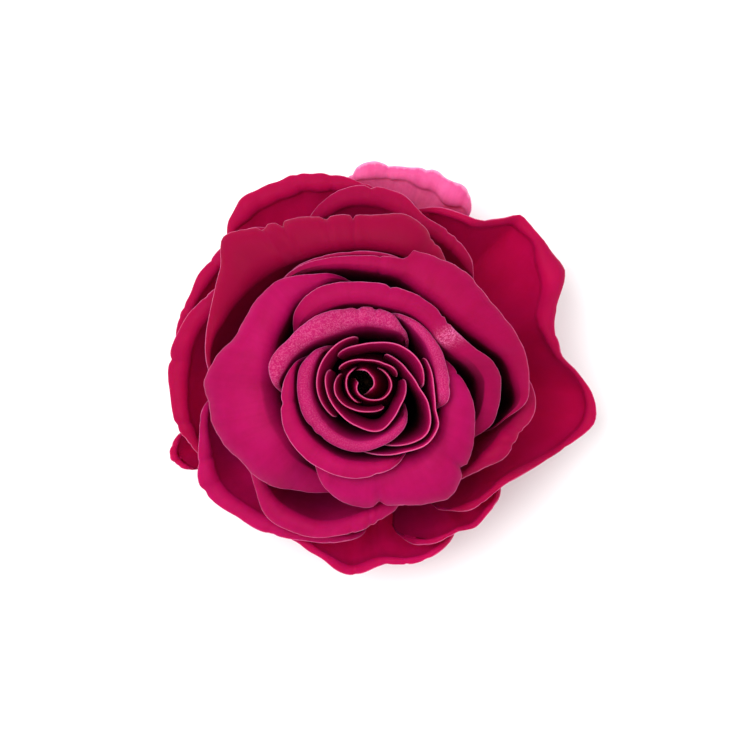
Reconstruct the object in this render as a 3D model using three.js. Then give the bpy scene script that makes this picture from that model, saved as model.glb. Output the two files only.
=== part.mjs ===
// Preserved rose head: one flower, face up, cut short below the sepals.
// Units are millimetres, +Z is up, the table is z = 0.
import * as THREE from 'three';

// ---------- driving dimensions ----------
const LEAN = 6;                // degrees the flower leans towards -Y
const PETAL_THICK = 0.3;       // petal thickness at the rim
const CLAW_THICK = 0.2;        // petal thickness where it meets the receptacle
const BASE_TOP = 15;           // height of the claw of the innermost petal
const BASE_STEP = 0.31;        // each mm of opening lowers the claw by this
const LIP_TURN = 64;           // degrees a lip turns down by its edge
const ROLL_SHARE = 0.25;       // share of a lip that is still rising
const MAX_RISE = 4.2;          // most height gained while turning over
const FALL_SHARE = 0.6;        // share of the stated fall that a lip makes
const MAX_ROLL = 0.8;          // radius of the turn at the crest
const LEAST_LIP = 0.32;        // even the ends of a rolled petal turn over this much
const CLAW_WIDTH = 0.6;        // claw width as a share of the petal's width
const OPENING = 0.0025;        // lower petals open wider, per mm below the top
const BUD_BULGE = 1.2;         // how far bud petals bulge low down
const BUD_WAIST = 1.1;         // how far they draw in before their rims open
const TOP = 42;                // height the opening is counted from
const HIP_RADIUS = 5.6;        // widest part of the receptacle under the petals
const NECK_RADIUS = 3.2;       // bottom of the receptacle
const NECK_Z = 2.5;
const STUB_RADIUS = 3.1;
const STUB_HEIGHT = 2.0;
const SEPALS = 5;
const SEPAL_LENGTH = 10.5;
const SEPAL_WIDTH = 5.2;
const SEPAL_THICK = 0.6;
const STAMENS = 8;
const STAMEN_RING = 1.55;

// Rim height of a petal of a given opening radius, [radius, height].
const RIM = [[0, 36.5], [3, 38], [6, 40], [9, 42], [12, 42.6], [14, 41.5], [17, 39],
  [20, 35.5], [22, 31], [24, 26], [26, 22], [28, 18.5], [30, 16], [33, 13]];

// Petals from the heart outwards. Each station across a petal is
// [bearing in degrees, opening radius, rim drop, lip reach, lip fall].
const PETALS = {
  heart_1: [[-110, 0.9, 4, 0, 0], [-60, 1, 0, 0, 0], [0, 1, 0, 0, 0], [60, 1.2, 0, 0, 0], [108, 1.9, 0, 0, 0],
    [134, 2, 4, 0, 0]],
  heart_2: [[160, 1.2, 3, 0, 0], [178, 1.3, 0, 0, 0], [218, 1.8, 0, 0, 0], [258, 2.1, 0, 0, 0], [291, 2.5, 0, 0, 0],
    [320, 3.1, 0, 0, 0], [350, 3.4, 0, 0, 0], [389, 2.9, 0.3, 0, 0], [416, 2.4, 3, 0, 0]],
  heart_3: [[122, 2.5, 4, 0, 0], [140, 2.7, 0, 0, 0], [162, 2.9, 0, 0, 0], [194, 2.9, 0, 0, 0],
    [240, 2.9, 0.3, 0, 0], [254, 2.9, 4, 0, 0]],
  bud_1: [[12, 4.7, 2, 0, 0], [31, 4.2, 0, 0, 0], [52, 3.5, 0, 0, 0], [90, 3.1, 0, 0, 0],
    [110, 3.4, 0, 0, 0], [154, 4.7, 1.5, 0, 0]],
  bud_2: [[160, 4.1, 2, 0, 0], [184, 4.6, 0, 0, 0], [197, 4.7, 0, 0, 0], [218, 4.5, 0, 0, 0],
    [244, 4.1, 0, 0, 0], [267, 4, 0, 0, 0], [305, 4.5, 2, 0, 0]],
  bud_3: [[160, 6, 2, 0, 0], [181, 5.8, 0, 0, 0], [220, 5.7, 0, 0, 0], [255, 6.1, 0, 0, 0],
    [285, 6.9, 0, 0, 0], [304, 6.3, 0, 0, 0], [331, 5.6, 0, 0, 0], [366, 5.6, 2, 0, 0]],
  bud_4: [[-5, 8.2, 1.5, 0, 0], [18, 7.9, 0, 0, 0], [46, 7, 0, 0, 0], [81, 5.7, 0, 0, 0],
    [104, 5.4, 0, 0, 0], [138, 6, 2, 0, 0]],
  bud_5: [[-82, 9.2, 3, 0, 0], [-51, 10.6, 0.5, 0, 0], [-41, 10.9, 0, 0, 0], [-19, 9.1, 0, 0, 0],
    [-3, 7.1, 0, 0, 0], [21, 5.8, 0.5, 0, 0], [58, 5.2, 2.5, 0, 0]],
  bud_6: [[-96, 10.1, 3, 0, 0], [-64, 11, 0.5, 0, 0], [-43, 11.9, 0, 0, 0], [-32, 11.6, 0, 0, 0],
    [-20, 10.1, 0, 0, 0], [0, 9.3, 0, 0, 0], [24, 9.1, 1.5, 0, 0]],
  bud_7: [[101, 7, 2, 0, 0], [133, 6.9, 0, 0, 0], [176, 7, 0, 0, 0], [228, 7, 2, 0, 0]],
  roll_1: [[130, 7.8, 4, 0, 0], [150, 8.3, 1, 0.6, 0.3], [172, 8.5, 0, 1.3, 0.7], [222, 8.8, 0, 1.2, 0.7],
    [256, 8.8, 0, 1.1, 0.6], [282, 8.3, 0, 0.8, 0.4], [311, 7.6, 0.5, 0.5, 0.2], [332, 6.9, 4, 0, 0]],
  roll_2: [[37, 8.4, 5, 0, 0], [56, 8.9, 1, 0.3, 0.2], [71, 8.9, 0, 1.5, 0.8], [90, 8.8, 0, 2, 1],
    [105, 8.8, 0, 2.1, 1], [126, 9.3, 0, 2.5, 1.2], [150, 10.9, 0, 1.9, 1], [168, 12.5, 0, 1.5, 0.8],
    [179, 12.9, 1, 0.5, 0.3], [189, 12.9, 6, 0, 0]],
  roll_3: [[-21, 11.4, 4, 0, 0], [-12, 10.9, 0.5, 0.8, 0.4], [0, 10.5, 0, 1.1, 0.6], [20, 10.3, 0, 1.1, 0.8],
    [42, 10.4, 0, 0.8, 0.7], [62, 10.7, 1.5, 0.3, 0.2], [80, 10.9, 6, 0, 0]],
  roll_4: [[150, 9.6, 6, 0, 0], [165, 10.6, 1.5, 0.3, 0.2], [188, 11.2, 0.3, 1, 0.4], [216, 11.9, 0, 1.7, 0.6],
    [253, 12.1, 0, 1.7, 0.6], [283, 11.9, 0.5, 0.8, 0.3], [303, 12.3, 6, 0, 0]],
  roll_5: [[220, 13, 9, 0, 0], [236, 13.3, 4, 1.2, 0.8], [248, 13.3, 2, 3.4, 2], [265, 13.1, 2.2, 5.4, 4],
    [285, 13.1, 2.5, 5.8, 4.4], [298, 13.5, 2.5, 6.7, 4.8], [305, 13.7, 2.5, 7.4, 5], [317, 13.7, 2.5, 6.2, 4.4], [334, 13, 2.5, 4.8, 3.5],
    [353, 12.4, 2.5, 3.2, 2], [368, 12, 3, 1.4, 1], [381, 11.7, 4.5, 0.3, 0.2], [396, 11.2, 10, 0, 0]],
  roll_6: [[-48, 15.4, 13, 0, 0], [-28, 16.3, 6, 1.6, 1], [-15, 17, 4, 2.4, 1.5], [0, 16.8, 2.5, 2.7, 1.7],
    [9, 15.6, 1.5, 3, 1.7], [18, 13.9, 0.5, 2.3, 1.2], [33, 12.5, 0, 2, 1], [58, 12.4, 0, 2, 1],
    [74, 12.1, 0, 2, 1], [90, 12.2, 0, 2.1, 1], [118, 12.9, 0.5, 2.4, 1.2], [133, 13.2, 1.5, 1.8, 1],
    [150, 13.6, 8, 0, 0]],
  roll_7: [[96, 15.3, 9, 0, 0], [112, 16.1, 2.5, 1, 0.6], [130, 16.1, 1, 3.2, 1.8], [143, 15.6, 1, 4.2, 3],
    [158, 15.2, 1, 5, 3.5], [169, 14.7, 1.5, 7.4, 4.5], [182, 14.4, 2.5, 9.6, 6], [195, 14.3, 2.2, 9.5, 6],
    [209, 14.3, 2, 7.9, 5.2], [224, 14.8, 3, 6.5, 4.6], [236, 15.3, 5.5, 4.3, 2.8], [256, 15.9, 7.5, 1.4, 1],
    [272, 15.7, 13, 0, 0]],
  roll_8: [[-24, 18.8, 10, 0, 0], [-15, 20.1, 5, 0.3, 0.2], [-6, 21.7, 1.5, 1, 0.6], [3, 21, 0.5, 1.8, 1],
    [10, 20.1, 0, 2.5, 1.3], [17, 18.4, 0, 3.8, 2], [30, 16.4, 0, 4.8, 2.6], [43, 15.6, 0, 5.6, 3.2],
    [57, 15.6, 0, 5, 3], [67, 16.1, 0.2, 4.2, 2.2], [71, 16.3, 0.5, 3.8, 2], [73, 16.4, 0.5, 2.1, 1.2], [89, 16.6, 0.5, 1.4, 0.8], [106, 17.4, 1, 1.1, 0.6],
    [123, 18.7, 4, 0.6, 0.3], [139, 19.4, 11, 0, 0]],
  roll_9: [[66, 17.7, 6, 0, 0], [80, 18, 2, 0.3, 0.2], [100, 18.3, 1.5, 0.4, 0.2], [119, 19, 4, 0.3, 0.2],
    [131, 19.6, 11, 0, 0]],
  open_1: [[-55, 18.8, 10, 0, 0], [-37, 19.5, 3, 0.8, 0.5], [-28, 20.2, 1, 2, 1.2], [-20, 20.9, 0.5, 1.6, 1],
    [-10, 22.7, 1, 1.4, 0.8], [5, 23.6, 7, 0, 0]],
  open_2: [[48, 18.8, 9, 0, 0], [64, 19.6, 1.5, 2.5, 1.6], [78, 19.4, 0, 5, 3], [90, 19.6, 0, 3.9, 2.4],
    [101, 19.8, 0, 4, 2.4], [114, 20.2, 0, 5.1, 3], [126, 21.2, 0, 6, 3], [134, 21.8, 0, 7, 3],
    [142, 22.2, 0, 4, 1.8], [157, 22.9, 0.5, 1.6, 0.7], [167, 23, 2, 0.6, 0.2], [184, 22.6, 9, 0, 0]],
  open_3: [[204, 19.6, 10, 0, 0], [220, 20.6, 4, 1, 0.8], [235, 22, 1, 1.8, 1.2], [248, 21.7, 0.5, 1.8, 1.2],
    [264, 19.6, 1, 1.5, 1], [284, 17.6, 4, 1.4, 1], [302, 17.4, 11, 0, 0]],
  open_4: [[184, 23.8, 7, 0, 0], [198, 24.6, 2, 1, 0.5], [214, 26.1, 0, 1.8, 1], [227, 25, 0, 1.5, 0.8],
    [240, 24, 0.5, 1, 0.5], [254, 23, 2, 0.6, 0.3], [270, 22.4, 7, 0, 0]],
  open_5: [[134, 23.7, 8, 0, 0], [148, 24.6, 2, 1, 0.4], [165, 26, 0, 2, 1], [179, 26.7, 0, 1.8, 1],
    [190, 26.5, 0, 1.6, 1], [199, 26.1, 1.5, 0.8, 0.4], [213, 26.9, 7, 0, 0]],
  open_6: [[118, 26.9, 7, 0, 0], [130, 27.2, 1, 1.2, 0.5], [142, 27, 0, 1.1, 0.6], [152, 27.1, 0, 1, 0.6],
    [164, 27.6, 1, 0.6, 0.4], [178, 28, 7, 0, 0]],
  open_7: [[42, 22.2, 8, 0, 0], [56, 22.8, 2, 1.2, 0.6], [69, 23.4, 0, 1.6, 1], [81, 25.3, 0, 2, 1],
    [97, 26.6, 1, 2, 1], [113, 26.6, 7, 0, 0]],
  open_8: [[80, 27.2, 7, 0, 0], [92, 28, 1, 1, 0.5], [104, 29.2, 0, 1.6, 0.8], [117, 30.2, 0, 1.8, 0.9],
    [129, 30, 0.5, 1.2, 0.5], [141, 29, 7, 0, 0]],
  pale_guard: [[58, 29.2, 1.5, 0.8, 0.4], [63, 29.5, 0, 1.6, 0.8], [70, 29.7, 0, 2, 1], [79, 30.2, 0, 1.6, 0.8],
    [91, 30.1, 0.5, 1.4, 0.6], [103, 30.6, 7, 0, 0]],
  open_9: [[-62, 21.6, 8, 0, 0], [-47, 22.8, 1, 0.6, 0.3], [-37, 23.3, 0, 0.7, 0.3], [-25, 26.1, 0, 0.8, 0.3],
    [-17, 29.2, 0, 0.8, 0.3], [-9, 31.6, 0, 0.9, 0.5], [-3, 31, 0, 0.8, 0.4], [2, 29.4, 0, 0.6, 0.3],
    [9, 26.8, 0, 0.6, 0.3], [15, 26.3, 0, 1, 0.8], [21, 26.7, 0, 2.2, 1.8], [29, 29.8, 0, 2.8, 2.2], [35, 30.6, 0, 1.8, 1.6],
    [41, 31.2, 0, 1, 0.6], [47, 31.4, 0, 1.2, 0.6], [51, 29, 0, 0.8, 0.3], [57, 26.7, 0, 0.8, 0.3],
    [67, 26.4, 1, 0.6, 0.2], [80, 26.7, 8, 0, 0]],
  open_10: [[-80, 23.7, 7, 0, 0], [-66, 24.1, 1, 0.4, 0.2], [-59, 24, 0, 0.5, 0.2], [-53, 24.8, 0, 0.6, 0.3],
    [-46, 24.4, 0.5, 0.4, 0.2], [-34, 25.2, 8, 0, 0]],
  open_11: [[232, 25.4, 7, 0, 0], [246, 24.2, 1.5, 0.5, 0.3], [255, 24.8, 0, 0.8, 0.4], [265, 26.3, 0, 0.8, 0.4],
    [275, 25, 0, 0.8, 0.4], [287, 25.6, 0, 0.6, 0.3], [294, 25.4, 1, 0.4, 0.2], [304, 25.8, 7, 0, 0]],
  open_12: [[195, 27.9, 2, 0.4, 0.2], [201, 29, 0, 0.6, 0.3], [207, 28, 2, 0.4, 0.2]],
};

const SLOTS = {
  petal: { color: 0xb81d5e, roughness: 0.75 },
  petal_pale: { color: 0xd87aa2, roughness: 0.75 },
  calyx: { color: 0x55602f, roughness: 0.85 },
  stem: { color: 0x6a5a35, roughness: 0.85 },
  stamen: { color: 0xa87a3a, roughness: 0.8 },
};

const group = new THREE.Group();
group.name = 'preserved_rose';
const rad = THREE.MathUtils.degToRad;
const clamp = THREE.MathUtils.clamp;
const ease = (x) => THREE.MathUtils.smoothstep(x, 0, 1);

function addMesh(name, slot, geometry) {
  const look = SLOTS[slot];
  const material = new THREE.MeshStandardMaterial({ color: look.color, roughness: look.roughness });
  material.name = slot;
  const mesh = new THREE.Mesh(geometry, material);
  mesh.name = name;
  group.add(mesh);
  return mesh;
}

// Monotone cubic through rows of [x, a, b, ...]; never overshoots the rows.
function smoothTable(rows) {
  const n = rows.length;
  const width = rows[0].length;
  const slopes = rows.map(() => new Array(width).fill(0));
  for (let k = 1; k < width; k += 1) {
    const step = (i) => (rows[i + 1][k] - rows[i][k]) / (rows[i + 1][0] - rows[i][0]);
    for (let i = 1; i < n - 1; i += 1) {
      const before = step(i - 1);
      const after = step(i);
      slopes[i][k] = before * after > 0 ? (2 * before * after) / (before + after) : 0;
    }
    slopes[0][k] = step(0);
    slopes[n - 1][k] = step(n - 2);
  }
  return (x) => {
    const at = clamp(x, rows[0][0], rows[n - 1][0]);
    let i = 0;
    while (i < n - 2 && at > rows[i + 1][0]) i += 1;
    const span = rows[i + 1][0] - rows[i][0];
    const t = (at - rows[i][0]) / span;
    const out = [at];
    for (let k = 1; k < width; k += 1) {
      const a = rows[i][k];
      const b = rows[i + 1][k];
      const u = 1 - t;
      out.push((1 + 2 * t) * u * u * a + t * u * u * span * slopes[i][k]
        + t * t * (3 - 2 * t) * b - t * t * u * span * slopes[i + 1][k]);
    }
    return out;
  };
}

const rimHeight = smoothTable(RIM);

// Claw radius and claw height on the receptacle for a petal of opening radius c.
const clawRadius = (c) => 2.2 + 0.33 * Math.min(c, 12) + 0.05 * Math.max(c - 12, 0);
const clawHeight = (c) => BASE_TOP - BASE_STEP * c;

// One family of nested cups: the radius at height z of the cup that opens to c.
function cupRadius(c, z) {
  const claw = clawRadius(c);
  const q = clamp((z - clawHeight(c)) / (rimHeight(c)[1] - clawHeight(c)), 0, 1);
  const bowl = ease((c - 4) / 16);
  const shape = (1 - bowl) * q * q + bowl * Math.sqrt(1 - (1 - q) * (1 - q));
  const bulge = (1 - bowl) * BUD_BULGE * Math.sin(Math.PI * q ** 0.6);
  const waist = (1 - bowl) * BUD_WAIST * Math.min(1, c / 5) * ease((q - 0.4) / 0.35) * (1 - ease((q - 0.75) / 0.25));
  const spread = 1 + OPENING * q * (TOP - rimHeight(c)[1]);
  return (claw + (c - claw) * shape + bulge - waist) * spread;
}

// Closed solid between a grid of points and the same grid moved along its normals.
function shellFromGrid(rows, thickness) {
  const m = rows.length;
  const n = rows[0].length;
  const outer = [];
  const inner = [];
  const across = new THREE.Vector3();
  const along = new THREE.Vector3();
  for (let i = 0; i < m; i += 1) {
    for (let j = 0; j < n; j += 1) {
      across.subVectors(rows[i][Math.min(j + 1, n - 1)], rows[i][Math.max(j - 1, 0)]);
      along.subVectors(rows[Math.min(i + 1, m - 1)][j], rows[Math.max(i - 1, 0)][j]);
      const normal = across.clone().cross(along).normalize();
      const half = thickness(i / (m - 1), j / (n - 1)) / 2;
      outer.push(rows[i][j].clone().addScaledVector(normal, half));
      inner.push(rows[i][j].clone().addScaledVector(normal, -half));
    }
  }
  const points = outer.concat(inner);
  const index = [];
  const back = m * n;
  const id = (i, j) => i * n + j;
  const quad = (a, b, c, d) => index.push(a, b, c, a, c, d);
  for (let i = 0; i < m - 1; i += 1) {
    for (let j = 0; j < n - 1; j += 1) {
      quad(id(i, j), id(i, j + 1), id(i + 1, j + 1), id(i + 1, j));
      quad(back + id(i, j), back + id(i + 1, j), back + id(i + 1, j + 1), back + id(i, j + 1));
    }
  }
  for (let j = 0; j < n - 1; j += 1) {
    quad(id(0, j), back + id(0, j), back + id(0, j + 1), id(0, j + 1));
    quad(id(m - 1, j), id(m - 1, j + 1), back + id(m - 1, j + 1), back + id(m - 1, j));
  }
  for (let i = 0; i < m - 1; i += 1) {
    quad(id(i, 0), id(i + 1, 0), back + id(i + 1, 0), back + id(i, 0));
    quad(id(i, n - 1), back + id(i, n - 1), back + id(i + 1, n - 1), id(i + 1, n - 1));
  }
  const geometry = new THREE.BufferGeometry();
  geometry.setAttribute('position', new THREE.Float32BufferAttribute(points.flatMap((p) => [p.x, p.y, p.z]), 3));
  geometry.setIndex(index);
  geometry.computeVertexNormals();
  return geometry;
}

const onBearing = (degrees, r, z) =>
  new THREE.Vector3(r * Math.cos(rad(degrees)), r * Math.sin(rad(degrees)), z);

// Middle surface of a petal: up the cup from the claw, over the crest, down the lip.
function petalGrid(stations) {
  const first = stations[0][0];
  const last = stations[stations.length - 1][0];
  const middle = (first + last) / 2;
  const at = smoothTable(stations);
  const columns = clamp(Math.round((last - first) / 11), 6, 15);
  const bodyRows = [0, 0.12, 0.3, 0.52, 0.76, 1];
  const lipped = Math.max(...stations.map((s) => s[3])) > 0;
  const lipRows = lipped ? [30, 62, 90, 122, 90 + LIP_TURN] : [];
  const rows = [...bodyRows, ...lipRows].map(() => []);
  for (let j = 0; j <= columns; j += 1) {
    const bearing = first + ((last - first) * j) / columns;
    const [, opening, drop, reachHere, fallHere] = at(bearing);
    const reach = lipped ? Math.max(reachHere, LEAST_LIP) : 0;
    const fall = lipped ? Math.max(fallHere, LEAST_LIP / 2) : 0;
    const roll = Math.min(MAX_ROLL, reach * 0.5);
    const rise = Math.min(roll + ROLL_SHARE * reach, MAX_RISE);
    const turnOut = roll + ROLL_SHARE * reach;
    const rim = rimHeight(opening)[1] - drop;
    const body = opening - roll;
    const spread = 1 + OPENING * (TOP - rimHeight(opening)[1]);
    bodyRows.forEach((share, i) => {
      const width = CLAW_WIDTH + (1 - CLAW_WIDTH) * share ** 0.6;
      const turn = middle + (bearing - middle) * width;
      const [, here, , lip] = at(turn);
      const cup = here - Math.min(MAX_ROLL, (lipped ? Math.max(lip, LEAST_LIP) : 0) * 0.5);
      const z = clawHeight(cup) + (rim - rise - clawHeight(cup)) * share ** 1.5;
      rows[i].push(onBearing(turn, cupRadius(share === 1 ? body : cup, z), z));
    });
    const foot = cupRadius(body, rim - rise);
    lipRows.forEach((degrees, i) => {
      const over = degrees > 90;
      const side = Math.cos(rad(degrees));
      const lift = Math.sin(rad(degrees));
      const out = ((1 - ROLL_SHARE) * reach * side) / Math.cos(rad(90 + LIP_TURN));
      const down = (FALL_SHARE * fall * (1 - lift)) / (1 - Math.sin(rad(90 + LIP_TURN)));
      const r = foot + (over ? turnOut + out : turnOut * (1 - side)) * spread;
      const z = over ? rim - down : rim - rise * (1 - lift);
      rows[bodyRows.length + i].push(onBearing(bearing, r, z));
    });
  }
  return rows;
}

function addPetals() {
  for (const [name, stations] of Object.entries(PETALS)) {
    const geometry = shellFromGrid(petalGrid(stations), (up) =>
      CLAW_THICK + (PETAL_THICK - CLAW_THICK) * Math.min(1, up * 2));
    leanOver(geometry);
    addMesh(`petal_${name}`, name === 'pale_guard' ? 'petal_pale' : 'petal', geometry);
  }
}

function leanOver(geometry) {
  geometry.applyMatrix4(new THREE.Matrix4().makeRotationX(rad(LEAN)));
}

// Closed solid of revolution from the axis to the axis.
function turned(profile, sides) {
  const points = [];
  const index = [];
  const inner = profile.slice(1, -1);
  points.push([0, 0, profile[0][1]]);
  for (const [r, z] of inner) {
    for (let k = 0; k < sides; k += 1) {
      const a = (2 * Math.PI * k) / sides;
      points.push([r * Math.cos(a), r * Math.sin(a), z]);
    }
  }
  const top = points.length;
  points.push([0, 0, profile[profile.length - 1][1]]);
  const id = (i, k) => 1 + i * sides + (k % sides);
  for (let k = 0; k < sides; k += 1) {
    index.push(0, id(0, k + 1), id(0, k));
    for (let i = 0; i < inner.length - 1; i += 1) {
      index.push(id(i, k), id(i, k + 1), id(i + 1, k + 1));
      index.push(id(i, k), id(i + 1, k + 1), id(i + 1, k));
    }
    index.push(id(inner.length - 1, k), id(inner.length - 1, k + 1), top);
  }
  const geometry = new THREE.BufferGeometry();
  geometry.setAttribute('position', new THREE.Float32BufferAttribute(points.flat(), 3));
  geometry.setIndex(index);
  geometry.computeVertexNormals();
  return geometry;
}

// The receptacle follows the petal claws a little way inside them.
function addReceptacle() {
  const profile = [[0, NECK_Z], [NECK_RADIUS, NECK_Z], [HIP_RADIUS - 0.8, NECK_Z + 0.9], [HIP_RADIUS, NECK_Z + 2]];
  for (const c of [32, 24, 16, 12, 9, 6, 3, 0]) {
    profile.push([clawRadius(c) - 0.5, clawHeight(c) - 0.35]);
  }
  profile.push([0, BASE_TOP - 0.2]);
  const geometry = turned(profile, 24);
  leanOver(geometry);
  addMesh('receptacle', 'calyx', geometry);
}

function addStub() {
  const profile = [[0, 0], [STUB_RADIUS - 0.15, 0], [STUB_RADIUS, 0.3],
    [STUB_RADIUS - 0.1, STUB_HEIGHT], [0, STUB_HEIGHT]];
  addMesh('stem_stub', 'stem', turned(profile, 20));
}

// Sepals leave the neck, arch over and rest their tips on the table.
function addSepals() {
  for (let k = 0; k < SEPALS; k += 1) {
    const bearing = 18 + (360 / SEPALS) * k;
    const rows = [];
    for (let i = 0; i <= 8; i += 1) {
      const t = i / 8;
      const r = 4.6 + SEPAL_LENGTH * t;
      const z = 1.5 + 1.1 * Math.sin(Math.PI * t ** 0.9) - 1.15 * t;
      const half = (SEPAL_WIDTH / 2) * Math.sin(Math.PI * (0.22 + 0.74 * t)) ** 0.8 + 0.1;
      const row = [];
      for (let j = 0; j <= 4; j += 1) {
        const s = j / 2 - 1;
        const p = new THREE.Vector3(r, s * half, z + 0.35 * (1 - t) * s * s);
        row.push(p.applyAxisAngle(new THREE.Vector3(0, 0, 1), rad(bearing)));
      }
      rows.push(row);
    }
    const geometry = shellFromGrid(rows, () => SEPAL_THICK);
    geometry.computeBoundingBox();
    geometry.translate(0, 0, -geometry.boundingBox.min.z);
    addMesh(`sepal_${k + 1}`, 'calyx', geometry);
  }
}

// Pistil in the middle of the bud with a ring of stamens round it.
function addCentre() {
  const foot = BASE_TOP + 0.1;
  const pistil = turned([[0, foot], [0.55, foot], [0.5, foot + 3], [0.8, foot + 3.6],
    [0.6, foot + 4.2], [0, foot + 4.4]], 10);
  leanOver(pistil);
  addMesh('pistil', 'stamen', pistil);
  for (let k = 0; k < STAMENS; k += 1) {
    const height = 4.4 + 0.5 * ((k * 3) % 4);
    const stamen = turned([[0, foot], [0.12, foot], [0.1, foot + height - 0.8], [0.3, foot + height - 0.5],
      [0.3, foot + height - 0.1], [0, foot + height]], 6);
    stamen.translate(STAMEN_RING, 0, 0);
    stamen.rotateZ(rad((360 / STAMENS) * k + 12));
    leanOver(stamen);
    addMesh(`stamen_${k + 1}`, 'stamen', stamen);
  }
}

// Put the middle of the flower's footprint over the origin.
function centreOnTable() {
  const box = new THREE.Box3();
  for (const mesh of group.children) {
    mesh.geometry.computeBoundingBox();
    box.union(mesh.geometry.boundingBox);
  }
  const middle = box.getCenter(new THREE.Vector3());
  for (const mesh of group.children) {
    mesh.geometry.translate(-middle.x, -middle.y, 0);
  }
}

addPetals();
addReceptacle();
addStub();
addSepals();
addCentre();
centreOnTable();

export default group;
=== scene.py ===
# %% [markdown]
# # A preserved rose head
# A preserved rose is a real rose whose sap has been swapped for glycerine and dye. It is all
# petals: tight curls in the heart, a bud round them, rolled petals round that, and open ones
# outside. We load the measured frame first and take the flower's axis from the stem stub's box.
# %% Load the frame
import math

import bmesh
import bpy
import numpy as np
from mathutils import Matrix, Vector


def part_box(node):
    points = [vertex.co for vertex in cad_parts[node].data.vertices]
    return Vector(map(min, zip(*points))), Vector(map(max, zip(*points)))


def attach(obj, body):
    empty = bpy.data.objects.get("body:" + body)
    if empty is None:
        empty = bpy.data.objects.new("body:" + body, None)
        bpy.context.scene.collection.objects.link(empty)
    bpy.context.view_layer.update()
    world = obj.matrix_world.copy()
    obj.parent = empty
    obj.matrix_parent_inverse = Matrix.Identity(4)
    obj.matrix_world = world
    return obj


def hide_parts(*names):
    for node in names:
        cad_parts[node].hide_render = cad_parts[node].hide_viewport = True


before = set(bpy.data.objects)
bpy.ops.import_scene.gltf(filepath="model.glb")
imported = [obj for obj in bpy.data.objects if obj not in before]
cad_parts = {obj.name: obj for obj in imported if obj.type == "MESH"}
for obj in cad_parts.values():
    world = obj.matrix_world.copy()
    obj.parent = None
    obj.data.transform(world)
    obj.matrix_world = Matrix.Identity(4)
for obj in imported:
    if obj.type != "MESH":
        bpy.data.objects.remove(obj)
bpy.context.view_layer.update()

MM = 0.001
stub_low, stub_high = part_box("stem_stub")
AXIS_X = (stub_low[0] + stub_high[0]) / 2 / MM
AXIS_Y = (stub_low[1] + stub_high[1]) / 2 / MM
LEAN = math.radians(6)
print("flower axis at", round(AXIS_X, 2), round(AXIS_Y, 2), "mm")

# %% [markdown]
# ## Small helpers
# Colours are easiest to judge as the hex values of a paint chart, but the renderer works in
# linear light, so one function converts them. Another adds a shader node with its settings
# and links in one line, which keeps each material short enough to read.
# %% Colour and node helpers
def linear(hex_colour):
    """sRGB hex to linear RGBA."""
    out = []
    for k in (0, 2, 4):
        s = int(hex_colour.lstrip("#")[k:k + 2], 16) / 255
        out.append(s / 12.92 if s <= 0.04045 else ((s + 0.055) / 1.055) ** 2.4)
    return (*out, 1.0)


def node(tree, kind, links=None, **settings):
    """Add a node: links join sockets, inputs sets socket values, other settings are properties."""
    made = tree.nodes.new(kind)
    inputs = settings.pop("inputs", {})
    for key, value in settings.items():
        setattr(made, key, value)
    for key, value in inputs.items():
        made.inputs[key].default_value = value
    for key, source in (links or {}).items():
        tree.links.new(source, made.inputs[key])
    return made


def new_material(name):
    """A material with a bare Principled shader."""
    material = bpy.data.materials.new(name)
    material.use_nodes = True
    tree = material.node_tree
    tree.nodes.clear()
    shader = node(tree, "ShaderNodeBsdfPrincipled")
    node(tree, "ShaderNodeOutputMaterial", {"Surface": shader.outputs[0]})
    return material, tree, shader


def attribute_value(tree, name):
    """A number stored on the mesh."""
    return node(tree, "ShaderNodeAttribute", attribute_name=name).outputs["Fac"]


def noise(tree, vector, scale, detail, roughness):
    """Noise value at a place."""
    return node(tree, "ShaderNodeTexNoise", {"Vector": vector},
                inputs={"Scale": scale, "Detail": detail, "Roughness": roughness}).outputs["Fac"]


def remap(tree, value, low, high, to_low, to_high):
    """Carry low..high to to_low..to_high, and stop there."""
    made = node(tree, "ShaderNodeMapRange", {"Value": value})
    made.inputs["From Min"].default_value = low
    made.inputs["From Max"].default_value = high
    made.inputs["To Min"].default_value = to_low
    made.inputs["To Max"].default_value = to_high
    return made.outputs[0]


def tint(tree, share, colour, hex_colour):
    """A colour socket mixed with a fixed colour."""
    return node(tree, "ShaderNodeMixRGB", {"Fac": share, "Color1": colour},
                inputs={"Color2": linear(hex_colour)}).outputs[0]


def times(tree, one, two):
    """Two vectors or colours multiplied."""
    return node(tree, "ShaderNodeVectorMath", {0: one, 1: two}, operation="MULTIPLY").outputs[0]


def stretch(tree, vector, factors):
    """A vector scaled by fixed factors."""
    made = node(tree, "ShaderNodeVectorMath", {0: vector}, operation="MULTIPLY")
    made.inputs[1].default_value = factors
    return made.outputs[0]


def two_tone(tree, share, hex_one, hex_two):
    """A mix of two fixed colours."""
    return node(tree, "ShaderNodeMixRGB", {"Fac": share},
                inputs={"Color1": linear(hex_one), "Color2": linear(hex_two)}).outputs[0]


def roughen(tree, shader, height, strength, distance):
    """Drive the shader's normal from a height."""
    bump = node(tree, "ShaderNodeBump", {"Height": height},
                inputs={"Strength": strength, "Distance": distance})
    tree.links.new(bump.outputs[0], shader.inputs["Normal"])


# %% [markdown]
# ## How a rose packs its petals
# Rose petals nest like bowls in a stack. If every petal lies on one family of bowls, each
# opening a little wider than the one inside it, petals can never cut through each other. The
# numbers below are the same as the solid model's: rim height for each opening radius, and for
# each petal its stations [bearing, opening radius, rim drop, lip reach, lip fall] in degrees
# and millimetres.
# %% The rim heights and the petals
RIM = [[0, 36.5], [3, 38], [6, 40], [9, 42], [12, 42.6], [14, 41.5], [17, 39],
       [20, 35.5], [22, 31], [24, 26], [26, 22], [28, 18.5], [30, 16], [33, 13]]

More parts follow.
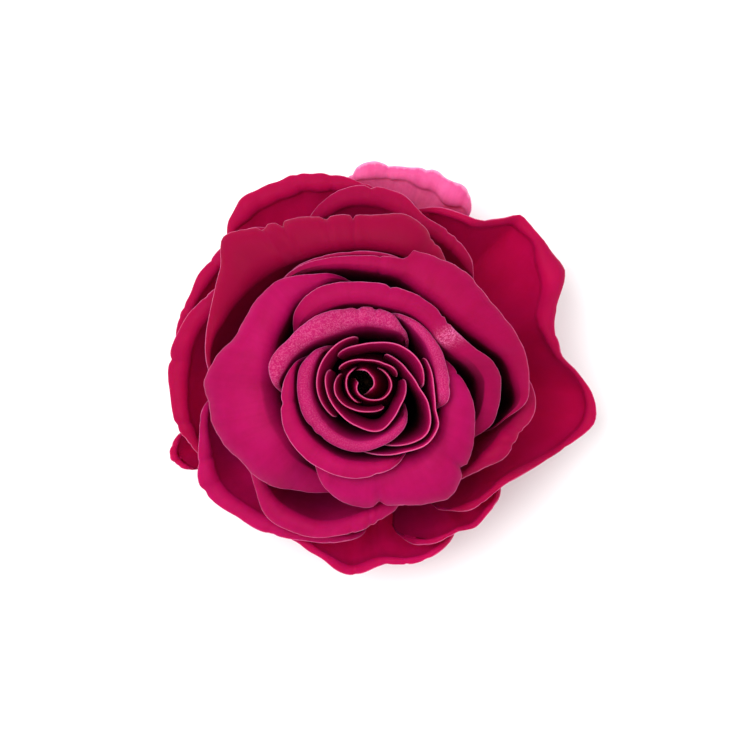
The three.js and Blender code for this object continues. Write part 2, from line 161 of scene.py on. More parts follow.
PETALS = {
    "heart_1": [
        [-110, 0.9, 4, 0, 0], [-60, 1, 0, 0, 0], [0, 1, 0, 0, 0], [60, 1.2, 0, 0, 0],
        [108, 1.9, 0, 0, 0], [134, 2, 4, 0, 0],
    ],
    "heart_2": [
        [160, 1.2, 3, 0, 0], [178, 1.3, 0, 0, 0], [218, 1.8, 0, 0, 0], [258, 2.1, 0, 0, 0],
        [291, 2.5, 0, 0, 0], [320, 3.1, 0, 0, 0], [350, 3.4, 0, 0, 0], [389, 2.9, 0.3, 0, 0],
        [416, 2.4, 3, 0, 0],
    ],
    "heart_3": [
        [122, 2.5, 4, 0, 0], [140, 2.7, 0, 0, 0], [162, 2.9, 0, 0, 0], [194, 2.9, 0, 0, 0],
        [240, 2.9, 0.3, 0, 0], [254, 2.9, 4, 0, 0],
    ],
    "bud_1": [
        [12, 4.7, 2, 0, 0], [31, 4.2, 0, 0, 0], [52, 3.5, 0, 0, 0], [90, 3.1, 0, 0, 0],
        [110, 3.4, 0, 0, 0], [154, 4.7, 1.5, 0, 0],
    ],
    "bud_2": [
        [160, 4.1, 2, 0, 0], [184, 4.6, 0, 0, 0], [197, 4.7, 0, 0, 0], [218, 4.5, 0, 0, 0],
        [244, 4.1, 0, 0, 0], [267, 4, 0, 0, 0], [305, 4.5, 2, 0, 0],
    ],
    "bud_3": [
        [160, 6, 2, 0, 0], [181, 5.8, 0, 0, 0], [220, 5.7, 0, 0, 0], [255, 6.1, 0, 0, 0],
        [285, 6.9, 0, 0, 0], [304, 6.3, 0, 0, 0], [331, 5.6, 0, 0, 0], [366, 5.6, 2, 0, 0],
    ],
    "bud_4": [
        [-5, 8.2, 1.5, 0, 0], [18, 7.9, 0, 0, 0], [46, 7, 0, 0, 0], [81, 5.7, 0, 0, 0],
        [104, 5.4, 0, 0, 0], [138, 6, 2, 0, 0],
    ],
    "bud_5": [
        [-82, 9.2, 3, 0, 0], [-51, 10.6, 0.5, 0, 0], [-41, 10.9, 0, 0, 0], [-19, 9.1, 0, 0, 0],
        [-3, 7.1, 0, 0, 0], [21, 5.8, 0.5, 0, 0], [58, 5.2, 2.5, 0, 0],
    ],
    "bud_6": [
        [-96, 10.1, 3, 0, 0], [-64, 11, 0.5, 0, 0], [-43, 11.9, 0, 0, 0], [-32, 11.6, 0, 0, 0],
        [-20, 10.1, 0, 0, 0], [0, 9.3, 0, 0, 0], [24, 9.1, 1.5, 0, 0],
    ],
    "bud_7": [
        [101, 7, 2, 0, 0], [133, 6.9, 0, 0, 0], [176, 7, 0, 0, 0], [228, 7, 2, 0, 0],
    ],
    "roll_1": [
        [130, 7.8, 4, 0, 0], [150, 8.3, 1, 0.6, 0.3], [172, 8.5, 0, 1.3, 0.7],
        [222, 8.8, 0, 1.2, 0.7], [256, 8.8, 0, 1.1, 0.6], [282, 8.3, 0, 0.8, 0.4],
        [311, 7.6, 0.5, 0.5, 0.2], [332, 6.9, 4, 0, 0],
    ],
    "roll_2": [
        [37, 8.4, 5, 0, 0], [56, 8.9, 1, 0.3, 0.2], [71, 8.9, 0, 1.5, 0.8], [90, 8.8, 0, 2, 1],
        [105, 8.8, 0, 2.1, 1], [126, 9.3, 0, 2.5, 1.2], [150, 10.9, 0, 1.9, 1],
        [168, 12.5, 0, 1.5, 0.8], [179, 12.9, 1, 0.5, 0.3], [189, 12.9, 6, 0, 0],
    ],
    "roll_3": [
        [-21, 11.4, 4, 0, 0], [-12, 10.9, 0.5, 0.8, 0.4], [0, 10.5, 0, 1.1, 0.6],
        [20, 10.3, 0, 1.1, 0.8], [42, 10.4, 0, 0.8, 0.7], [62, 10.7, 1.5, 0.3, 0.2],
        [80, 10.9, 6, 0, 0],
    ],
    "roll_4": [
        [150, 9.6, 6, 0, 0], [165, 10.6, 1.5, 0.3, 0.2], [188, 11.2, 0.3, 1, 0.4],
        [216, 11.9, 0, 1.7, 0.6], [253, 12.1, 0, 1.7, 0.6], [283, 11.9, 0.5, 0.8, 0.3],
        [303, 12.3, 6, 0, 0],
    ],
    "roll_5": [
        [220, 13, 9, 0, 0], [236, 13.3, 4, 1.2, 0.8], [248, 13.3, 2, 3.4, 2],
        [265, 13.1, 2.2, 5.4, 4], [285, 13.1, 2.5, 5.8, 4.4], [298, 13.5, 2.5, 6.7, 4.8],
        [305, 13.7, 2.5, 7.4, 5], [317, 13.7, 2.5, 6.2, 4.4], [334, 13, 2.5, 4.8, 3.5],
        [353, 12.4, 2.5, 3.2, 2], [368, 12, 3, 1.4, 1], [381, 11.7, 4.5, 0.3, 0.2],
        [396, 11.2, 10, 0, 0],
    ],
    "roll_6": [
        [-48, 15.4, 13, 0, 0], [-28, 16.3, 6, 1.6, 1], [-15, 17, 4, 2.4, 1.5],
        [0, 16.8, 2.5, 2.7, 1.7], [9, 15.6, 1.5, 3, 1.7], [18, 13.9, 0.5, 2.3, 1.2],
        [33, 12.5, 0, 2, 1], [58, 12.4, 0, 2, 1], [74, 12.1, 0, 2, 1], [90, 12.2, 0, 2.1, 1],
        [118, 12.9, 0.5, 2.4, 1.2], [133, 13.2, 1.5, 1.8, 1], [150, 13.6, 8, 0, 0],
    ],
    "roll_7": [
        [96, 15.3, 9, 0, 0], [112, 16.1, 2.5, 1, 0.6], [130, 16.1, 1, 3.2, 1.8],
        [143, 15.6, 1, 4.2, 3], [158, 15.2, 1, 5, 3.5], [169, 14.7, 1.5, 7.4, 4.5],
        [182, 14.4, 2.5, 9.6, 6], [195, 14.3, 2.2, 9.5, 6], [209, 14.3, 2, 7.9, 5.2],
        [224, 14.8, 3, 6.5, 4.6], [236, 15.3, 5.5, 4.3, 2.8], [256, 15.9, 7.5, 1.4, 1],
        [272, 15.7, 13, 0, 0],
    ],
    "roll_8": [
        [-24, 18.8, 10, 0, 0], [-15, 20.1, 5, 0.3, 0.2], [-6, 21.7, 1.5, 1, 0.6],
        [3, 21, 0.5, 1.8, 1], [10, 20.1, 0, 2.5, 1.3], [17, 18.4, 0, 3.8, 2],
        [30, 16.4, 0, 4.8, 2.6], [43, 15.6, 0, 5.6, 3.2], [57, 15.6, 0, 5, 3],
        [67, 16.1, 0.2, 4.2, 2.2], [71, 16.3, 0.5, 3.8, 2], [73, 16.4, 0.5, 2.1, 1.2],
        [89, 16.6, 0.5, 1.4, 0.8], [106, 17.4, 1, 1.1, 0.6], [123, 18.7, 4, 0.6, 0.3],
        [139, 19.4, 11, 0, 0],
    ],
    "roll_9": [
        [66, 17.7, 6, 0, 0], [80, 18, 2, 0.3, 0.2], [100, 18.3, 1.5, 0.4, 0.2],
        [119, 19, 4, 0.3, 0.2], [131, 19.6, 11, 0, 0],
    ],
    "open_1": [
        [-55, 18.8, 10, 0, 0], [-37, 19.5, 3, 0.8, 0.5], [-28, 20.2, 1, 2, 1.2],
        [-20, 20.9, 0.5, 1.6, 1], [-10, 22.7, 1, 1.4, 0.8], [5, 23.6, 7, 0, 0],
    ],
    "open_2": [
        [48, 18.8, 9, 0, 0], [64, 19.6, 1.5, 2.5, 1.6], [78, 19.4, 0, 5, 3],
        [90, 19.6, 0, 3.9, 2.4], [101, 19.8, 0, 4, 2.4], [114, 20.2, 0, 5.1, 3],
        [126, 21.2, 0, 6, 3], [134, 21.8, 0, 7, 3], [142, 22.2, 0, 4, 1.8],
        [157, 22.9, 0.5, 1.6, 0.7], [167, 23, 2, 0.6, 0.2], [184, 22.6, 9, 0, 0],
    ],
    "open_3": [
        [204, 19.6, 10, 0, 0], [220, 20.6, 4, 1, 0.8], [235, 22, 1, 1.8, 1.2],
        [248, 21.7, 0.5, 1.8, 1.2], [264, 19.6, 1, 1.5, 1], [284, 17.6, 4, 1.4, 1],
        [302, 17.4, 11, 0, 0],
    ],
    "open_4": [
        [184, 23.8, 7, 0, 0], [198, 24.6, 2, 1, 0.5], [214, 26.1, 0, 1.8, 1],
        [227, 25, 0, 1.5, 0.8], [240, 24, 0.5, 1, 0.5], [254, 23, 2, 0.6, 0.3],
        [270, 22.4, 7, 0, 0],
    ],
    "open_5": [
        [134, 23.7, 8, 0, 0], [148, 24.6, 2, 1, 0.4], [165, 26, 0, 2, 1],
        [179, 26.7, 0, 1.8, 1], [190, 26.5, 0, 1.6, 1], [199, 26.1, 1.5, 0.8, 0.4],
        [213, 26.9, 7, 0, 0],
    ],
    "open_6": [
        [118, 26.9, 7, 0, 0], [130, 27.2, 1, 1.2, 0.5], [142, 27, 0, 1.1, 0.6],
        [152, 27.1, 0, 1, 0.6], [164, 27.6, 1, 0.6, 0.4], [178, 28, 7, 0, 0],
    ],
    "open_7": [
        [42, 22.2, 8, 0, 0], [56, 22.8, 2, 1.2, 0.6], [69, 23.4, 0, 1.6, 1],
        [81, 25.3, 0, 2, 1], [97, 26.6, 1, 2, 1], [113, 26.6, 7, 0, 0],
    ],
    "open_8": [
        [80, 27.2, 7, 0, 0], [92, 28, 1, 1, 0.5], [104, 29.2, 0, 1.6, 0.8],
        [117, 30.2, 0, 1.8, 0.9], [129, 30, 0.5, 1.2, 0.5], [141, 29, 7, 0, 0],
    ],
    "pale_guard": [
        [58, 29.2, 1.5, 0.8, 0.4], [63, 29.5, 0, 1.6, 0.8], [70, 29.7, 0, 2, 1],
        [79, 30.2, 0, 1.6, 0.8], [91, 30.1, 0.5, 1.4, 0.6], [103, 30.6, 7, 0, 0],
    ],
    "open_9": [
        [-62, 21.6, 8, 0, 0], [-47, 22.8, 1, 0.6, 0.3], [-37, 23.3, 0, 0.7, 0.3],
        [-25, 26.1, 0, 0.8, 0.3], [-17, 29.2, 0, 0.8, 0.3], [-9, 31.6, 0, 0.9, 0.5],
        [-3, 31, 0, 0.8, 0.4], [2, 29.4, 0, 0.6, 0.3], [9, 26.8, 0, 0.6, 0.3],
        [15, 26.3, 0, 1, 0.8], [21, 26.7, 0, 2.2, 1.8], [29, 29.8, 0, 2.8, 2.2],
        [35, 30.6, 0, 1.8, 1.6], [41, 31.2, 0, 1, 0.6], [47, 31.4, 0, 1.2, 0.6],
        [51, 29, 0, 0.8, 0.3], [57, 26.7, 0, 0.8, 0.3], [67, 26.4, 1, 0.6, 0.2],
        [80, 26.7, 8, 0, 0],
    ],
    "open_10": [
        [-80, 23.7, 7, 0, 0], [-66, 24.1, 1, 0.4, 0.2], [-59, 24, 0, 0.5, 0.2],
        [-53, 24.8, 0, 0.6, 0.3], [-46, 24.4, 0.5, 0.4, 0.2], [-34, 25.2, 8, 0, 0],
    ],
    "open_11": [
        [232, 25.4, 7, 0, 0], [246, 24.2, 1.5, 0.5, 0.3], [255, 24.8, 0, 0.8, 0.4],
        [265, 26.3, 0, 0.8, 0.4], [275, 25, 0, 0.8, 0.4], [287, 25.6, 0, 0.6, 0.3],
        [294, 25.4, 1, 0.4, 0.2], [304, 25.8, 7, 0, 0],
    ],
    "open_12": [
        [195, 27.9, 2, 0.4, 0.2], [201, 29, 0, 0.6, 0.3], [207, 28, 2, 0.4, 0.2],
    ],
}

print(len(PETALS), "petals")

# %% [markdown]
# ## A smooth curve through the stations
# A petal edge has no corners between its stations, and it must not swing past them either, or
# it would touch its neighbour. A monotone cubic does both, so we fit one to each column.
# %% Smooth tables
def smooth_table(rows):
    """Monotone cubic through rows of [x, a, b, ...], for an array of x."""
    rows = np.array(rows, float)
    x, y = rows[:, 0], rows[:, 1:]
    step = (y[1:] - y[:-1]) / (x[1:] - x[:-1])[:, None]
    slope = np.zeros_like(y)
    slope[0], slope[-1] = step[0], step[-1]
    product = step[:-1] * step[1:]
    total = step[:-1] + step[1:]
    safe = np.where(product > 0, total, 1.0)
    slope[1:-1] = np.where(product > 0, 2 * product / safe, 0)

    def read(at):
        at = np.clip(np.asarray(at, float), x[0], x[-1])
        i = np.clip(np.searchsorted(x, at, side="left") - 1, 0, len(x) - 2)
        span = (x[i + 1] - x[i])[..., None]
        t = ((at - x[i])[..., None]) / span
        s = 1 - t
        return ((1 + 2 * t) * s * s * y[i] + t * s * s * span * slope[i]
                + t * t * (3 - 2 * t) * y[i + 1] - t * t * s * span * slope[i + 1])

    return read


rim_table = smooth_table(RIM)


def rim_height(opening):
    """Rim height of a bowl of that opening radius."""
    return rim_table(opening)[..., 0]


print("bud rim at", round(float(rim_height(9.0)), 1), "mm")

# %% [markdown]
# ## The family of bowls
# Near the heart a bowl is a closed bud: it bulges, then draws in. Further out it is a quarter
# ellipse. Claws start lower on the receptacle the wider the bowl is.
# %% Bowl shape
def ease(x):
    """Smooth step from 0 to 1."""
    x = np.clip(x, 0, 1)
    return x * x * (3 - 2 * x)


def claw_radius(opening):
    """Radius at which a bowl of that opening leaves the receptacle."""
    return 2.2 + 0.33 * np.minimum(opening, 12) + 0.05 * np.maximum(opening - 12, 0)


def claw_height(opening):
    """Height at which a bowl of that opening leaves the receptacle."""
    return 15 - 0.31 * opening


def cup_radius(opening, z):
    """Radius at height z of the bowl that opens to that radius."""
    claw = claw_radius(opening)
    rim = rim_height(opening)
    q = np.clip((z - claw_height(opening)) / (rim - claw_height(opening)), 0, 1)
    bowl = ease((opening - 4) / 16)
    shape = (1 - bowl) * q * q + bowl * np.sqrt(1 - (1 - q) ** 2)
    bulge = (1 - bowl) * 1.2 * np.sin(np.pi * q ** 0.6)
    drawn_in = ease((q - 0.4) / 0.35) * (1 - ease((q - 0.75) / 0.25))
    waist = (1 - bowl) * 1.1 * np.minimum(1, opening / 5) * drawn_in
    spread = 1 + 0.0025 * q * (42 - rim)
    return (claw + (opening - claw) * shape + bulge - waist) * spread


def waves(rng, x, pitches, sizes):
    """Gentle uneven wave: sines of the given pitches in mm with random phases."""
    out = np.zeros_like(x)
    for pitch, size in zip(pitches, sizes):
        length = pitch * rng.uniform(0.8, 1.25)
        out = out + size * np.sin(2 * np.pi * x / length + rng.uniform(0, 6.28))
    return out


# %% [markdown]
# ## One petal's surface
# The sheet climbs the bowl from the claw, turns over the crest and comes down as the lip. Real
# edges are never even, so the rim and the reach of the lip get small waves and a few nicks, and
# the sheet itself ripples more the nearer it is to its free edge.
# %% Petal surface
MAX_ROLL = 0.8     # mm, radius of the turn at the crest
ROLL_SHARE = 0.25  # share of a lip that is still rising
MAX_RISE = 4.2     # mm, most height gained while turning over
FALL_SHARE = 0.6   # share of the stated fall that a lip makes
LIP_TURN = 64      # degrees a lip turns down by its edge
LEAST_LIP = 0.32   # mm, even the ends of a rolled petal turn over this much
BODY_ROWS = 34     # rows of points from the claw to the crest
COLUMN_MM = 0.38   # width of a column of points
CLAW_WIDTH = 0.6   # claw width as a share of the petal's width

# How loose each kind of petal is: loose scales its unevenness, round_off is the radius of its
# corners, fade is how far down its inner wall the painted shade reaches, ripple scales the sheet's
# waves.
KINDS = {
    "open": {"loose": 1.0, "round_off": 3.0, "fade": 45, "ripple": 0.9},
    "roll": {"loose": 0.45, "round_off": 2.5, "fade": 2.6, "ripple": 0.55},
    "bud": {"loose": 0.18, "round_off": 0.8, "fade": 5.0, "ripple": 0.3},
}
PALE_RIPPLE = 1.6  # the pale guard petal is dry and ripples most

# Frost is pale specks on a lip, 0 to 1, partly dry wax and partly painted sheen where the lip
# catches the light. Flaky is the bearing in degrees of a worn patch on it.
FROST_AND_SHEEN = {"roll_1": 0.3, "roll_2": 0.55, "roll_3": 0.45, "bud_6": 0.3, "bud_3": 0.2}
FLAKY = {"roll_6": 30}
# How far a petal is tinted to deep crimson, from 0 for magenta to 1. This is partly how each petal
# took the dye and partly painted light and shade: petals at the lower left, where the light falls,
# stay magenta, and petals shaded by others are tinted deep crimson.
DYE_AND_SHADE_RED = {
    "heart_1": 0.7, "heart_2": 0.7, "heart_3": 0.7,
    "bud_1": 0.6, "bud_2": 0.6, "bud_3": 0.4, "bud_4": 0.4, "bud_5": 0.4, "bud_6": 0.3,
    "bud_7": 0.5,
    "roll_4": 0.25, "roll_5": 0.1, "roll_6": 0.4, "roll_7": 0.1, "roll_8": 0.5, "roll_9": 0.6,
    "open_1": 0.7, "open_2": 0.9, "open_3": 0.3, "open_4": 0.2, "open_5": 0.75, "open_6": 0.7,
    "open_7": 0.8, "open_8": 0.75, "open_9": 0.75, "open_10": 0.6, "open_11": 0.45, "open_12": 0.6,
}
# Painted glow: how much brighter than the middle petals the thin outer ones are painted, for the
# light they let through.
PAINTED_GLOW = {"open_2": 0.85, "open_4": 1.2, "open_5": 1.45, "open_6": 1.35, "open_8": 1.25,
        "open_9": 1.55, "open_10": 1.6, "open_11": 1.8, "open_12": 1.4}
# How quickly, in mm, the walls of the heart and bud petals fall into painted shade.
BUD_FADE = {"bud_1": 7.0, "bud_2": 7.0, "bud_3": 6.5, "bud_4": 6.0, "bud_5": 3.0, "bud_6": 2.2,
            "heart_1": 7.5, "heart_2": 7.5, "heart_3": 7.5}
# Dry crumpling of the free edge, in mm.
CRUMPLE = {"open_8": 0.45, "open_7": 0.3, "pale_guard": 0.5, "open_6": 0.2, "open_9": 0.15,
           "open_11": 0.15}


def kind_of(name):
    """The kind of a petal. The pale one is as loose as an open one, the heart as tight as a bud."""
    first = name.split("_")[0]
    return KINDS[{"pale": "open", "heart": "bud"}.get(first, first)]


def uneven_edge(rng, kind, across, from_side, drop, reach, fall, lipped):
    """Waves, rounded corners and a few nicks in the rim and the lip."""
    loose = kind["loose"]
    taper = np.clip(from_side / 2.5, 0, 1)
    drop = drop + loose * taper * (0.3 + waves(rng, across, (11, 5, 1.9), (0.24, 0.07, 0.02)))
    round_off = min(kind["round_off"], 0.2 * float(across[-1] - across[0]))
    corner = 1 - np.clip(from_side / round_off, 0, 1)
    drop = drop + round_off * (1 - np.sqrt(1 - corner ** 2))
    if lipped:
        wavy = 1 + waves(rng, across, (9, 3.7, 1.4), (0.016, 0.012, 0.005))
        reach = np.maximum(reach * wavy, LEAST_LIP)
        fall = np.maximum(fall, LEAST_LIP / 2)
    for _ in range(int(4 * loose + 2)):
        where = rng.uniform(across[0], across[-1])
        bite = np.exp(-((across - where) / rng.uniform(0.25, 0.6)) ** 2)
        reach = reach * (1 - 0.16 * bite)
        drop = drop + 0.25 * loose * bite
    return drop, reach, fall


def lip_rows(foot_r, rim, reach, fall, turn_out, rise, spread):
    """Radius and height of the lip: up over the crest, then out and down to its edge."""
    up_turn = np.linspace(9, 90, 10)
    down_turn = np.linspace(94, 90 + LIP_TURN, 18)
    angles = np.radians(np.concatenate([up_turn, down_turn]))[:, None]
    side, lift = np.cos(angles), np.sin(angles)
    over = angles > math.radians(91)
    out = (1 - ROLL_SHARE) * reach * side / side[-1]
    down = FALL_SHARE * fall * (1 - lift) / (1 - lift[-1])
    lip_r = foot_r + np.where(over, turn_out + out, turn_out * (1 - side)) * spread
    lip_z = np.where(over, rim - down, rim - rise * (1 - lift))
    return lip_r, lip_z


def painted_wall_shade(name, kind, stations, opening, z):
    """How much painted shade each point of the wall takes, 0 to 1, more the deeper it lies below
    the crest. The lip takes little of it.
    """
    crest = rim_height(opening) - min(s[2] for s in stations) - 0.4 * kind["loose"]
    on_wall = np.where(np.arange(len(z)) < BODY_ROWS + 8, 1, 0.15)[:, None]
    below_crest = np.maximum(crest - z, 0) * on_wall
    fade = BUD_FADE.get(name, kind["fade"])
    return 1 - np.exp(-(below_crest / fade) ** 1.4)


def petal_surface(name, stations, seed):
    """Points (rows, columns, 3) and the across, up, edge, depth and frost values of a petal. Depth
    is painted shade; frost is partly painted sheen.
    """
    rng = np.random.default_rng(seed)
    kind = kind_of(name)
    first, last = stations[0][0], stations[-1][0]
    middle = (first + last) / 2
    read = smooth_table(stations)
    widest = max(s[1] for s in stations)
    columns = int(np.clip(math.radians(last - first) * widest / COLUMN_MM, 28, 110))
    bearing = np.linspace(first, last, columns + 1)
    opening, drop, reach, fall = read(bearing).T
    lipped = max(s[3] for s in stations) > 0
    across = np.radians(bearing - middle) * widest
    from_side = np.minimum(bearing - first, last - bearing) * math.pi / 180 * widest
    drop, reach, fall = uneven_edge(rng, kind, across, from_side, drop, reach, fall, lipped)

    roll = np.minimum(MAX_ROLL, reach * 0.5)
    turn_out = roll + ROLL_SHARE * reach
    rise = np.minimum(turn_out, MAX_RISE)
    rim = rim_height(opening) - drop
    body = opening - roll
    spread = 1 + 0.0025 * (42 - rim_height(opening))
    share = np.linspace(0, 1, BODY_ROWS)[:, None]
    turn = middle + (bearing - middle)[None, :] * (CLAW_WIDTH + (1 - CLAW_WIDTH) * share ** 0.6)
    here = read(turn)
    lip = np.maximum(here[..., 2], LEAST_LIP) if lipped else 0 * here[..., 2]
    cup = here[..., 0] - np.minimum(MAX_ROLL, lip * 0.5)
    cup[-1] = body
    foot = claw_height(cup)
    z = foot + (rim - rise - foot) * share ** 1.5
    r = cup_radius(cup, z)
    b = turn
    if lipped:
        foot_r = cup_radius(body, rim - rise)
        lip_r, lip_z = lip_rows(foot_r, rim, reach, fall, turn_out, rise, spread)
        r = np.concatenate([r, lip_r])
        z = np.concatenate([z, lip_z])
        b = np.concatenate([turn, np.broadcast_to(bearing, lip_r.shape)])
    points = np.stack([r * np.cos(np.radians(b)), r * np.sin(np.radians(b)), z], -1)

    steps = np.linalg.norm(np.diff(points, axis=0), axis=-1)
    up = np.concatenate([np.zeros((1, columns + 1)), np.cumsum(steps, 0)])
    to_edge = up[-1:] - up
    edge = np.minimum(to_edge, np.broadcast_to(from_side, up.shape) + 0.2)
    wide = np.broadcast_to(across, up.shape)
    near_edge = np.clip(1 - to_edge / 14, 0, 1) ** 1.5
    painted_shade = painted_wall_shade(name, kind, stations, opening, z)

    ripple = waves(rng, wide + 0.25 * up, (12, 5.5), (0.16, 0.03))
    ripple = ripple + waves(rng, up + 0.2 * wide, (9,), (0.06,))
    creases = waves(rng, wide + 0.55 * up, (10.3, 6.1), (0.5, 0.4))
    creases = creases * waves(rng, wide - 0.3 * up, (13,), (1.0,))
    ripple = ripple + creases * CRUMPLE.get(name, 0.0)
    size = PALE_RIPPLE if name == "pale_guard" else kind["ripple"]
    points = points + surface_normals(points) * (ripple * near_edge * size)[..., None]

    on_lip = np.clip((np.arange(len(z)) - BODY_ROWS) / 5, 0, 1)[:, None]
    patch = np.exp(-((b - FLAKY[name]) / 5) ** 2) * 1.6 if name in FLAKY else 0
    frost_and_sheen = np.broadcast_to(on_lip * (FROST_AND_SHEEN.get(name, 0.0) + patch), z.shape)
    return points, wide, up, edge, painted_shade, frost_and_sheen


def surface_normals(points):
    """Unit normals of a grid of points, outwards from the flower's axis."""
    across = np.gradient(points, axis=1)
    along = np.gradient(points, axis=0)
    normal = np.cross(across, along)
    return normal / np.maximum(np.linalg.norm(normal, axis=-1, keepdims=True), 1e-9)


# %% [markdown]
# ## From a surface to a closed petal
# A petal has two faces and a thin edge. We place a front and a back grid either side of the
# surface, join them round the edge, and keep the distances as attributes so that the material can
# follow the petal: veins run up it, and its edge dries paler, with a painted highlight along it.
# %% Closed petal mesh
def to_frame(points):
    """Lean the flower, put it on its axis, and turn mm into metres."""
    x, y, z = points[..., 0], points[..., 1], points[..., 2]
    c, s = math.cos(LEAN), math.sin(LEAN)
    return np.stack([x + AXIS_X, y * c - z * s + AXIS_Y, y * s + z * c], -1) * MM


# Painted shade: the inner face of a petal takes the full painted shade on its wall, the outer face
# only this share.
OUTER_SHADE = 0.15   # the outer face of a petal sees light, so it takes little of the deep tone


def shell_mesh(name, points, thickness, extras):
    """Closed mesh between two offsets of a grid, with float attributes from extras."""
    rows, columns = points.shape[:2]
    normal = surface_normals(points)
    front = points + normal * thickness[..., None] / 2
    back = points - normal * thickness[..., None] / 2
    both = np.concatenate([front.reshape(-1, 3), back.reshape(-1, 3)])
    grid = np.arange(rows * columns).reshape(rows, columns)
    a, b, c, d = grid[:-1, :-1], grid[:-1, 1:], grid[1:, 1:], grid[1:, :-1]
    n = rows * columns
    faces = [np.stack([a, b, c, d], -1).reshape(-1, 4)]
    faces.append(np.stack([a, d, c, b], -1).reshape(-1, 4) + n)
    ring = np.concatenate([grid[0, :-1], grid[:-1, -1], grid[-1, :0:-1], grid[:0:-1, 0]])
    following = np.roll(ring, -1)
    faces.append(np.stack([following, ring, ring + n, following + n], -1))
    mesh = bpy.data.meshes.new(name)
    mesh.from_pydata(to_frame(both).tolist(), [], np.concatenate(faces).tolist())
    for key, values in extras.items():
        attribute = mesh.attributes.new(key, "FLOAT", "POINT")
        outer = values.ravel() * (OUTER_SHADE if key == "painted_shade" else 1)
        both_faces = np.concatenate([outer, values.ravel()]).astype(np.float32)
        attribute.data.foreach_set("value", both_faces)
    mesh.shade_smooth()
    return mesh


def add_piece(name, mesh, material, slot, *nodes):
    """Put a finished mesh in the scene, riding on the flower and standing for its CAD nodes."""
    piece = bpy.data.objects.new(name, mesh)
    bpy.context.scene.collection.objects.link(piece)
    mesh.materials.clear()
    mesh.materials.append(material)
    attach(piece, "root")
    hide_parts(*nodes)
    return piece


# %% [markdown]
# ## Dyed, glycerine-preserved petal
# A rose petal is a sheet of tiny domed cells, which is why it looks velvety: it scatters light
# softly with a pale sheen at grazing angles and hardly any gloss. Dye pools unevenly, fine veins
# fan up from the claw, and the very edge dries thin and pale; that pale edge and the frost on some
# lips also carry a painted highlight. The inner walls get painted shade, darker the deeper they
# lie, and the crimson tint is partly painted shade. Petals let some light through, so the outer
# ones glow. Subsurface scattering gives part of that; the rest is a painted glow that brightens the
# outer petals' colour.
# %% Petal materials
def petal_material(name, face, deep, red, painted_shade_colour, edge, edge_width):
    """Dyed petal: face and deep are magentas, red the crimson that is partly painted shade, pool
    the painted shade on the inner walls, edge the pale rim that is partly painted highlight.
    """
    material, tree, shader = new_material(name)
    sheet = node(tree, "ShaderNodeCombineXYZ", {
        "X": attribute_value(tree, "across_mm"), "Y": attribute_value(tree, "up_mm"),
        "Z": attribute_value(tree, "petal_number")}).outputs[0]
    # Dye blotches about 4 mm across.
    blotch = noise(tree, sheet, 0.25, 4.0, 0.6)
    # Veins: 0.7 mm apart, stretched about ten times along the petal.
    veins = noise(tree, stretch(tree, sheet, (1.4, 0.13, 1.0)), 1.0, 5.0, 0.62)
    # Cell texture: real cells are 0.03 mm, drawn at 0.18 mm so that they show.
    cells = noise(tree, sheet, 5.5, 2.0, 0.7)
    base = two_tone(tree, remap(tree, blotch, 0.3, 0.7, 0.25, 1.0), deep, face)
    shaded = times(tree, base, remap(tree, veins, 0.35, 0.6, 0.94, 1.02))
    # Each petal takes the dye differently, from magenta to crimson; the tint also paints light and
    # shade, magenta where the light falls and crimson in shade.
    shaded = tint(tree, attribute_value(tree, "dye_and_shade_redness"), shaded, red)
    # Thin outer petals glow with the light they let through; here that glow is painted, their
    # colour brightened by a factor of their own.
    shaded = times(tree, shaded, attribute_value(tree, "lift"))
    # Little light reaches the inner walls, so painted shade darkens them downwards.
    shaded = tint(tree, attribute_value(tree, "painted_shade"), shaded, painted_shade_colour)
    # The pale edge is partly dry edge and partly painted highlight along the rim. It comes and goes
    # along the petal, so its width is scaled by the vein noise.
    ragged = node(tree, "ShaderNodeMath", {0: veins}, operation="MULTIPLY",
                  inputs={1: edge_width * 2}).outputs[0]
    dry = node(tree, "ShaderNodeMath", {0: attribute_value(tree, "edge_mm"), 1: ragged},
               operation="DIVIDE").outputs[0]
    painted = tint(tree, remap(tree, dry, 0.5, 1.4, 0.42, 0.0), shaded, edge)
    # Frost: specks about 0.2 mm across, partly dry wax and partly painted sheen on the lips.
    specks = remap(tree, noise(tree, sheet, 5.0, 3.0, 0.75), 0.45, 0.65, 0.05, 0.6)
    frosted = node(tree, "ShaderNodeMath", {0: attribute_value(tree, "frost_and_sheen"), 1: specks},
                   operation="MULTIPLY", use_clamp=True).outputs[0]
    waxed = tint(tree, frosted, painted, edge)
    tree.links.new(waxed, shader.inputs["Base Color"])
    relief = node(tree, "ShaderNodeMath", {0: veins, 1: cells}, operation="ADD").outputs[0]
    roughen(tree, shader, relief, 0.25, 0.0001)
    shader.inputs["Roughness"].default_value = 0.58
    shader.inputs["IOR"].default_value = 1.42
    shader.inputs["Specular IOR Level"].default_value = 0.05
    shader.inputs["Sheen Weight"].default_value = 0.004
    shader.inputs["Sheen Roughness"].default_value = 0.45
    shader.inputs["Sheen Tint"].default_value = linear("#F08CB8")
    shader.inputs["Subsurface Weight"].default_value = 0.5
    shader.inputs["Subsurface Radius"].default_value = (1.0, 0.15, 0.3)
    shader.inputs["Subsurface Scale"].default_value = 0.0012
    return material


dyed_petal = petal_material("dyed preserved petal", face="#A00A54", deep="#8C0642",
                            red="#84032E", painted_shade_colour="#1C0005", edge="#DA6FA0", edge_width=0.11)
pale_petal = petal_material("pale dyed guard petal", face="#D05C92", deep="#B43C76",
                            red="#C44B83", painted_shade_colour="#8A1F4E", edge="#F2B4D0", edge_width=0.4)
print("petal materials ready")

